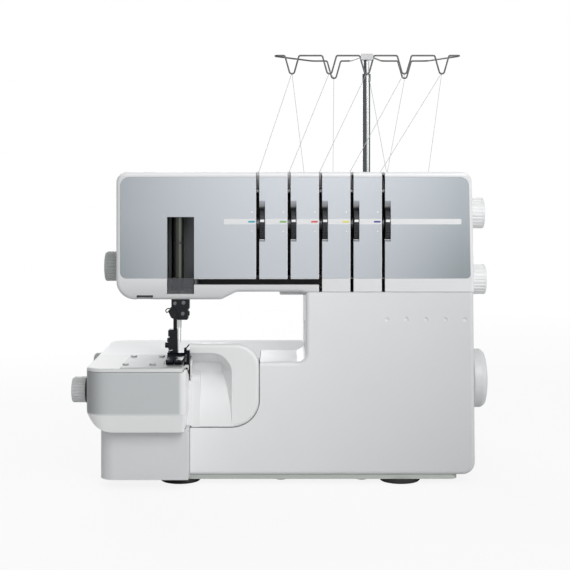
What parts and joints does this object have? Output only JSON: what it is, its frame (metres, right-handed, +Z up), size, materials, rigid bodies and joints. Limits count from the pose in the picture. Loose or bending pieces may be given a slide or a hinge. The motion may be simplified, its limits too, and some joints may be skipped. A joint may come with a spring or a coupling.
{
  "type": "serger overlock machine",
  "caption": "free-standing overlock sewing machine with tension thumbwheels in a slotted face panel, hinged looper cover, knives, needle bar, handwheel and telescopic thread stand",
  "frame": {"origin": "middle of the overall box at table level", "axes": "X to the operator's right, Y to the back, Z up"},
  "size_m": [0.4089, 0.33, 0.4375],
  "materials": {
    "white_plastic": "satin moulded white plastic",
    "silver_panel": "metallic blue-grey lacquer",
    "grey_plastic": "grained grey-green plastic",
    "light_grey_plastic": "satin light grey plastic",
    "knob_grey": "satin grey plastic",
    "black_plastic": "matt black plastic",
    "black_rubber": "soft black rubber",
    "steel": "ground steel",
    "chrome": "bright nickel plate",
    "dark_steel": "blackened steel",
    "dial_metal": "bright metallised rim",
    "cast_aluminium": "die-cast aluminium",
    "bronze": "sintered bronze",
    "smoke_plastic": "smoky clear plastic",
    "clear_lens": "frosted clear plastic",
    "thread": "twisted polyester thread",
    "spool_thread": "crosswound thread"
  },
  "bodies": {
    "machine": {"base_plate": "grey_plastic", "rubber_feet": "black_rubber", "left_base_cover": "white_plastic", "column_front_panel": "white_plastic", "column_rear_cover": "white_plastic", "bed_cover": "white_plastic", "cloth_plate": "white_plastic", "stitch_plate": "steel", "arm_front_frame": "white_plastic", "arm_rear_cover": "white_plastic", "face_panels": "silver_panel", "needle_window_guard": "smoke_plastic", "window_liner": "black_plastic", "slot_liner": "black_plastic", "lamp_lens": "clear_lens", "frame_casting": "cast_aluminium", "shaft_bushes": "bronze", "drive_belt": "black_rubber", "motor": "dark_steel", "front_cover_hinge_pins": "steel", "tension_units": "steel", "lower_knife": "steel", "spool_stand": "white_plastic", "spool_pins": "light_grey_plastic", "thread_spools": "spool_thread", "stand_outer_tube": "dark_steel", "guide_threads": "thread", "spool_threads": "thread", "power_inlet": "black_plastic", "casing_screws": "steel"},
    "front_cover": {"front_cover": "white_plastic"},
    "drive": {"handwheel": "light_grey_plastic", "main_shaft": "steel", "shaft_pulley": "cast_aluminium"},
    "motor_rotor": {"motor_pulley": "cast_aluminium"},
    "needle_bar": {"needle_bar": "chrome", "needle_clamp": "dark_steel", "needles": "steel"},
    "presser": {"presser_bar": "steel", "presser_shank": "dark_steel", "presser_foot": "dark_steel"},
    "presser_lifter": {"presser_lifter_lever": "knob_grey"},
    "upper_knife": {"upper_knife": "dark_steel"},
    "upper_looper": {"upper_looper": "steel"},
    "lower_looper": {"lower_looper": "steel"},
    "feed_dog": {"feed_dog": "steel"},
    "power_switch": {"power_switch": "black_plastic"},
    "thread_stand": {"stand_upper_tube": "dark_steel", "guide_clamp": "light_grey_plastic", "thread_guide_wire": "dark_steel"},
    "tension_dial_1": {"tension_dial_1": "dial_metal"},
    "tension_dial_2": {"tension_dial_2": "dial_metal"},
    "tension_dial_3": {"tension_dial_3": "dial_metal"},
    "tension_dial_4": {"tension_dial_4": "dial_metal"},
    "tension_dial_5": {"tension_dial_5": "dial_metal"},
    "stitch_length_knob": {"stitch_length_knob": "knob_grey"},
    "differential_feed_knob": {"differential_feed_knob": "knob_grey"},
    "foot_pressure_knob": {"foot_pressure_knob": "knob_grey"},
    "cutting_width_knob": {"cutting_width_knob": "knob_grey"},
    "looper_selector_knob": {"looper_selector_knob": "knob_grey"}
  },
  "joints": [
    {"name": "front_cover_hinge", "type": "hinge", "parent": "machine", "child": "front_cover", "pos_m": [-0.136, -0.148, 0.0605], "axis": [1, 0, 0], "range_deg": [0, 75]},
    {"name": "handwheel_turn", "type": "hinge", "parent": "machine", "child": "drive", "pos_m": [0, -0.067, 0.0955], "axis": [1, 0, 0], "continuous": true},
    {"name": "motor_turn", "type": "hinge", "parent": "machine", "child": "motor_rotor", "pos_m": [0.146, -0.004, 0.054], "axis": [1, 0, 0], "continuous": true},
    {"name": "needle_bar_slide", "type": "slide", "parent": "machine", "child": "needle_bar", "axis": [0, 0, 1], "range_m": [-0.028, 0]},
    {"name": "presser_bar_slide", "type": "slide", "parent": "machine", "child": "presser", "axis": [0, 0, 1], "range_m": [0, 0.006]},
    {"name": "presser_lifter_turn", "type": "hinge", "parent": "machine", "child": "presser_lifter", "pos_m": [-0.128, 0.043, 0.215], "axis": [0, -1, 0], "range_deg": [0, 30]},
    {"name": "upper_knife_swing", "type": "hinge", "parent": "machine", "child": "upper_knife", "pos_m": [-0.093, -0.086, 0.11], "axis": [-1, 0, 0], "range_deg": [0, 5]},
    {"name": "upper_looper_swing", "type": "hinge", "parent": "machine", "child": "upper_looper", "pos_m": [-0.07, -0.08, 0.075], "axis": [0, 1, 0], "range_deg": [-8, 8]},
    {"name": "lower_looper_swing", "type": "hinge", "parent": "machine", "child": "lower_looper", "pos_m": [-0.135, -0.104, 0.075], "axis": [0, 1, 0], "range_deg": [-8, 8]},
    {"name": "feed_dog_slide", "type": "slide", "parent": "machine", "child": "feed_dog", "axis": [0, 1, 0], "range_m": [-0.002, 0.002]},
    {"name": "power_switch_rock", "type": "hinge", "parent": "machine", "child": "power_switch", "pos_m": [0.183, -0.015, 0.042], "axis": [0, -1, 0], "range_deg": [0, 10]},
    {"name": "thread_stand_slide", "type": "slide", "parent": "machine", "child": "thread_stand", "axis": [0, 0, 1], "range_m": [-0.105, 0], "deforming": ["guide_threads", "spool_threads"]},
    {"name": "tension_dial_1_turn", "type": "hinge", "parent": "machine", "child": "tension_dial_1", "pos_m": [-0.0209, -0.1035, 0.254], "axis": [1, 0, 0], "range_deg": [-150, 150]},
    {"name": "tension_dial_2_turn", "type": "hinge", "parent": "machine", "child": "tension_dial_2", "pos_m": [0.00978, -0.1035, 0.254], "axis": [1, 0, 0], "range_deg": [-150, 150]},
    {"name": "tension_dial_3_turn", "type": "hinge", "parent": "machine", "child": "tension_dial_3", "pos_m": [0.04046, -0.1035, 0.254], "axis": [1, 0, 0], "range_deg": [-150, 150]},
    {"name": "tension_dial_4_turn", "type": "hinge", "parent": "machine", "child": "tension_dial_4", "pos_m": [0.07114, -0.1035, 0.254], "axis": [1, 0, 0], "range_deg": [-150, 150]},
    {"name": "tension_dial_5_turn", "type": "hinge", "parent": "machine", "child": "tension_dial_5", "pos_m": [0.10182, -0.1035, 0.254], "axis": [1, 0, 0], "range_deg": [-150, 150]},
    {"name": "stitch_length_knob_turn", "type": "hinge", "parent": "machine", "child": "stitch_length_knob", "pos_m": [0.1846, -0.074, 0.2635], "axis": [1, 0, 0], "range_deg": [-135, 135]},
    {"name": "differential_feed_knob_turn", "type": "hinge", "parent": "machine", "child": "differential_feed_knob", "pos_m": [0.186, -0.074, 0.1965], "axis": [1, 0, 0], "range_deg": [-120, 120]},
    {"name": "foot_pressure_knob_turn", "type": "hinge", "parent": "machine", "child": "foot_pressure_knob", "pos_m": [-0.1636, -0.077, 0.21], "axis": [-1, 0, 0], "range_deg": [-150, 150]},
    {"name": "cutting_width_knob_turn", "type": "hinge", "parent": "machine", "child": "cutting_width_knob", "pos_m": [-0.1881, -0.128, 0.094], "axis": [-1, 0, 0], "range_deg": [-150, 150]},
    {"name": "looper_selector_knob_turn", "type": "hinge", "parent": "machine", "child": "looper_selector_knob", "pos_m": [-0.1881, -0.018, 0.1015], "axis": [-1, 0, 0], "range_deg": [-45, 45]}
  ],
  "couplings": [
    {"joint": "motor_turn", "follows": "handwheel_turn", "ratio": 2.8},
    {"joint": "presser_lifter_turn", "follows": "presser_bar_slide", "rad_per_m": 87.266}
  ]
}
